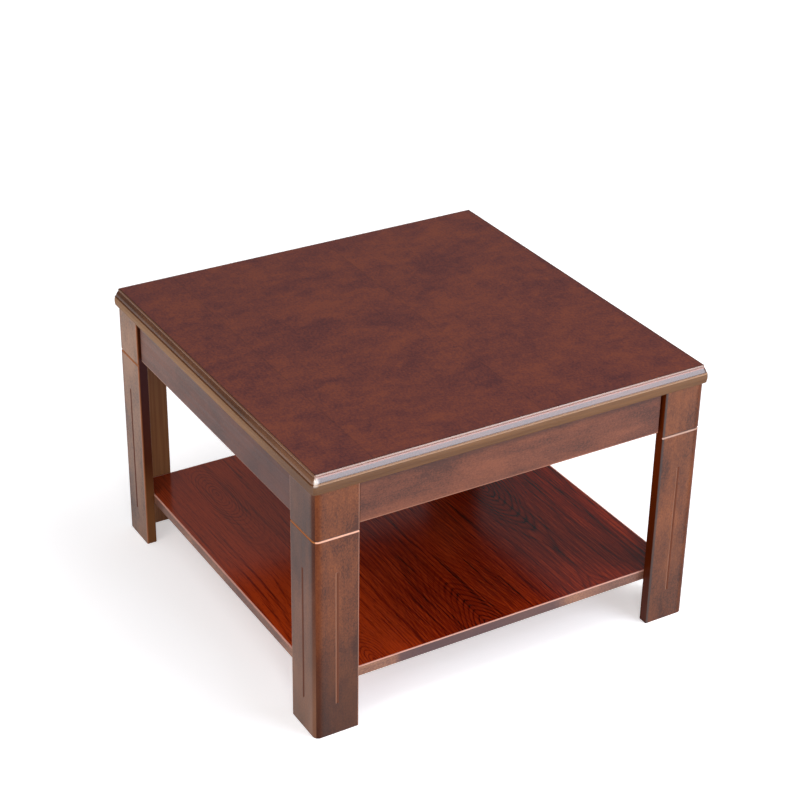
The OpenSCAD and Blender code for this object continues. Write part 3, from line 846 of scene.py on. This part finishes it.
# Painted highlight on the upper arris, told by how far it turns up
BAND_ARRIS_HIGHLIGHT = srgb(232, 172, 152)
BAND_HIGHLIGHT_TURN = (0.2, 0.5)
BAND_BUMP = (0.08, 0.0002)
BAND_ROUGHNESS = 0.4


def edge_band(name, grain, seed):
    """Thin stained band with a painted highlight where its upper arris turns up."""
    shader, colour, fibres, _ = stained_wood(name, grain, seed, EDGE_BAND_TONES)
    along = shader.axis(shader.place, grain)
    shade = shader.times(
        shader.span(along, *BAND_SHADE_START), shader.span(along, *BAND_SHADE_END)
    )
    share = FRONT_BAND_SHARE if grain == X else SIDE_BAND_SHARE
    colour = shader.stain_and_light(share, colour, BAND_SHADE, shade)
    # Painted highlight where the surface turns up
    upward = shader.span(shader.axis(shader.normal, Z), *BAND_HIGHLIGHT_TURN)
    colour = shader.mix(upward, colour, BAND_ARRIS_HIGHLIGHT)
    shader.bump(fibres, *BAND_BUMP)
    return shader.finish(colour, BAND_ROUGHNESS)


SOFTWOOD_TONES = (srgb(150, 108, 70), srgb(196, 154, 108), srgb(214, 178, 132))
SOFTWOOD_BUMP = (0.2, 0.0004)
SOFTWOOD_ROUGHNESS = 0.7


def softwood(name, grain, seed):
    """Bare planed softwood of the hidden blocks and cleats."""
    shader, colour, fibres, _ = stained_wood(name, grain, seed, SOFTWOOD_TONES)
    shader.bump(fibres, *SOFTWOOD_BUMP)
    return shader.finish(colour, SOFTWOOD_ROUGHNESS)


STEEL_COLOUR, STEEL_ROUGHNESS = srgb(180, 182, 186), 0.35
BRASS_COLOUR, BRASS_ROUGHNESS = srgb(184, 150, 79), 0.3
METAL_SCRATCHES = Noise((900, 900, 900), (0, 0, 0), 3.0, 0.6)
METAL_BLOTCHES = Noise((90, 90, 90), (0, 0, 0), 2.0, 0.5)
METAL_BLOTCH_SPAN = (0.35, 0.7)
METAL_DULL = 0.7
METAL_BUMP = (0.1, 0.0002)
METAL_SMOOTHER, METAL_ROUGHER = 0.08, 0.10


def worn_metal(name, colour, roughness):
    """Metal with fine scratches and duller blotches."""
    shader = Shader(name)
    scratches = shader.texture(METAL_SCRATCHES)
    blotches = shader.span(shader.texture(METAL_BLOTCHES), *METAL_BLOTCH_SPAN)
    dull = tuple(v * METAL_DULL for v in colour[:3]) + (1.0,)
    mixed = shader.mix(blotches, colour, dull)
    shader.bump(scratches, *METAL_BUMP)
    rough = shader.span(
        scratches, *NOISE_SPAN, roughness - METAL_SMOOTHER, roughness + METAL_ROUGHER
    )
    return shader.finish(mixed, rough, metallic=1.0)


# Dressing

# Seeds of the stain clouds on pieces where their place shows
CLOUD_SEEDS = {
    "front_edge_moulding": 161,
    "front_apron": 125,
    "left_apron": 87,
    "front_left_leg_face_board": 417,
    "front_right_leg_face_board": 139,
    "back_left_leg_face_board": 341,
    "back_left_leg_side_board": 422,
}
# First seeds of the other boards, kind by kind
MOULDING_SEED, APRON_SEED, BAND_SEED, CLEAT_SEED, LEG_SEED, BLOCK_SEED = 1, 5, 9, 13, 17, 30
STEEL_NODES = (
    "cleat_side_screws",
    "cleat_top_screws",
    "leg_bolts",
    "leg_bolt_washers",
    "shelf_cams",
    "shelf_cam_bolts",
)


def dress(node, material):
    mesh = nodes[node].data
    mesh.materials.clear()
    mesh.materials.append(material)


def dress_everything():
    sides = (("front", X), ("back", X), ("left", Y), ("right", Y))
    for index, (side, length_axis) in enumerate(sides):
        moulding = f"{side}_edge_moulding"
        seed = CLOUD_SEEDS.get(moulding, MOULDING_SEED + index)
        stain_and_light = FRONT_MOULDING if length_axis == X else SIDE_MOULDING
        dress(moulding, moulding_wood(f"{side}_moulding_wood", length_axis, seed, stain_and_light))
        apron = f"{side}_apron"
        seed = CLOUD_SEEDS.get(apron, APRON_SEED + index)
        dress(apron, apron_wood(f"{apron}_wood", length_axis, seed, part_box(apron)))
        band = edge_band(f"{side}_band_wood", length_axis, BAND_SEED + index)
        dress(f"{side}_shelf_edge_band", band)
        cleat = softwood(f"{side}_cleat_wood", length_axis, CLEAT_SEED + index)
        dress(f"{side}_top_cleat", cleat)
    corners = [f"{depth}_{side}" for depth in ("front", "back") for side in ("left", "right")]
    for index, corner in enumerate(corners):
        face_stain_and_light = RIGHT_FACE_STAIN_AND_LIGHT if corner.endswith("right") else LEFT_FACE_STAIN_AND_LIGHT
        side_stain_and_light = FRONT_SIDE_STAIN_AND_LIGHT if corner.startswith("front") else BACK_SIDE_STAIN_AND_LIGHT
        for board, across, stain_and_light in (("face", X, face_stain_and_light), ("side", Y, side_stain_and_light)):
            node = f"{corner}_leg_{board}_board"
            seed = CLOUD_SEEDS.get(node, LEG_SEED + 2 * index + across)
            dress(node, leg_wood(f"{node}_wood", seed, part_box(node), across, stain_and_light))
        block = softwood(f"{corner}_block_wood", Z, BLOCK_SEED + index)
        dress(f"{corner}_corner_block", block)
    dress("top_panel", top_veneer())
    dress("shelf_panel", shelf_veneer())
    steel = worn_metal("zinc_plated_steel", STEEL_COLOUR, STEEL_ROUGHNESS)
    for node in STEEL_NODES:
        dress(node, steel)
    dress("leg_threaded_inserts", worn_metal("turned_brass", BRASS_COLOUR, BRASS_ROUGHNESS))


# Light and floor

# Sine of the height above the horizon, and colour of the dome there
SKY_STOPS = (
    (0.00, (0.22, 0.20, 0.20, 1.0)),
    (0.35, (0.24, 0.23, 0.24, 1.0)),
    (0.55, (0.30, 0.30, 0.31, 1.0)),
    (0.80, (0.55, 0.55, 0.58, 1.0)),
    (1.00, (0.70, 0.70, 0.74, 1.0)),
)
SKY_STRENGTH = 1.0
# Name, place, width, height, power and colour of each lamp, and where they all point
LAMPS = (
    ("front_softbox", (1.5, -2.5, 1.75), 1.8, 2.9, 63, (0.82, 0.88, 1.0)),
    ("left_fill", (-2.6, -0.9, 1.1), 1.8, 1.4, 22, (1.0, 0.93, 0.86)),
    ("key", (1.1, -0.6, 3.1), 1.5, 1.5, 28, (1.0, 0.97, 0.93)),
    ("window", (-1.15, -2.9, 1.65), 0.5, 0.7, 12, (1.0, 0.98, 0.96)),
)
LAMP_TARGET = (0, 0, 0.35)
FLOOR_HALF = 30.0
FLOOR_COLOUR = srgb(247, 247, 247)
FLOOR_HAZE_COLOUR = srgb(243, 243, 244)
FLOOR_HAZE = Noise((3, 3, 3), (0, 0, 0), 2.0, 0.5)
FLOOR_HAZE_SHARE = 0.3
FLOOR_ROUGHNESS = 0.9
# Distances from the table over which the floor fades to white, and the glow near and far, for the
# camera and in reflections
FADE_START, FADE_END = 0.4, 2.6
CAMERA_GLOW = (0.46, 0.55)
MIRROR_GLOW = (0.20, 0.45)
# Place, reach and colour of a warm pool of light on the floor, behind and left of the table, that
# only reflections show
POOL_PLACE = (-0.85, 1.05, 0.0)
POOL_REACH = (0.75, 0.20)
POOL_COLOUR = (1.0, 0.72, 0.50, 1.0)
POOL_STRENGTH = 0.55


def add_sky():
    """A dome that is dim near the horizon, and white where the camera sees it."""
    world = bpy.data.worlds.new("sky")
    world.use_nodes = True
    tree = world.node_tree
    background = tree.nodes["Background"]
    place = tree.nodes.new("ShaderNodeTexCoord").outputs["Generated"]
    split = tree.nodes.new("ShaderNodeSeparateXYZ")
    tree.links.new(place, split.inputs[0])
    ramp = tree.nodes.new("ShaderNodeValToRGB")
    fill_ramp(ramp, SKY_STOPS)
    tree.links.new(split.outputs["Z"], ramp.inputs[0])
    path = tree.nodes.new("ShaderNodeLightPath")
    seen = tree.nodes.new("ShaderNodeMath")
    seen.operation = "MAXIMUM"
    tree.links.new(path.outputs["Is Camera Ray"], seen.inputs[0])
    tree.links.new(path.outputs["Is Transmission Ray"], seen.inputs[1])
    mix = tree.nodes.new("ShaderNodeMix")
    mix.data_type = "RGBA"
    tree.links.new(seen.outputs[0], mix.inputs["Factor"])
    tree.links.new(ramp.outputs[0], mix.inputs[6])
    mix.inputs[7].default_value = WHITE
    tree.links.new(mix.outputs[2], background.inputs["Color"])
    background.inputs["Strength"].default_value = SKY_STRENGTH
    scene.world = world


def add_lamp(name, place, width, height, power, colour):
    data = bpy.data.lights.new(name, "AREA")
    data.shape = "RECTANGLE"
    data.size = width
    data.size_y = height
    data.energy = power
    data.color = colour
    lamp = bpy.data.objects.new(name, data)
    lamp.location = place
    aim = Vector(LAMP_TARGET) - Vector(place)
    lamp.rotation_euler = aim.to_track_quat("-Z", "Y").to_euler()
    lamp.visible_camera = False
    scene.collection.objects.link(lamp)


def add_floor():
    """Pale floor that keeps the table's shadow, and glows a little so that it comes out white."""
    mesh = bpy.data.meshes.new("floor")
    signs = ((-1, -1), (1, -1), (1, 1), (-1, 1))
    corners = [(sx * FLOOR_HALF, sy * FLOOR_HALF, 0) for sx, sy in signs]
    mesh.from_pydata(corners, [], [(0, 1, 2, 3)])
    floor = bpy.data.objects.new("floor", mesh)
    shader = Shader("pale_floor")
    haze = shader.span(shader.texture(FLOOR_HAZE), *NOISE_SPAN, 0.0, FLOOR_HAZE_SHARE)
    colour = shader.mix(haze, FLOOR_COLOUR, FLOOR_HAZE_COLOUR)
    away = shader.vector_maths("LENGTH", shader.place)["Value"]
    camera_glow = shader.span(away, FADE_START, FADE_END, *CAMERA_GLOW)
    mirror_glow = shader.span(away, FADE_START, FADE_END, *MIRROR_GLOW)
    from_pool = shader.vector_maths("DISTANCE", shader.place, POOL_PLACE)["Value"]
    pool = shader.span(from_pool, *POOL_REACH)
    mirror_glow = shader.plus_share(pool, POOL_STRENGTH, mirror_glow)
    path = shader.add("ShaderNodeLightPath").outputs
    mirrored = shader.maths("MAXIMUM", path["Is Glossy Ray"], path["Is Transmission Ray"])
    glow = shader.times(camera_glow, path["Is Camera Ray"])
    glow = shader.plus_share(mirror_glow, mirrored, glow)
    glow_colour = shader.mix(shader.times(pool, mirrored), WHITE, POOL_COLOUR)
    shader.feed(shader.surface.inputs["Emission Color"], glow_colour)
    shader.feed(shader.surface.inputs["Emission Strength"], glow)
    mesh.materials.append(shader.finish(colour, FLOOR_ROUGHNESS, specular=0.0))
    scene.collection.objects.link(floor)


scene.view_settings.view_transform = "Standard"
add_camera()
dress_everything()
add_sky()
for lamp_settings in LAMPS:
    add_lamp(*lamp_settings)
add_floor()
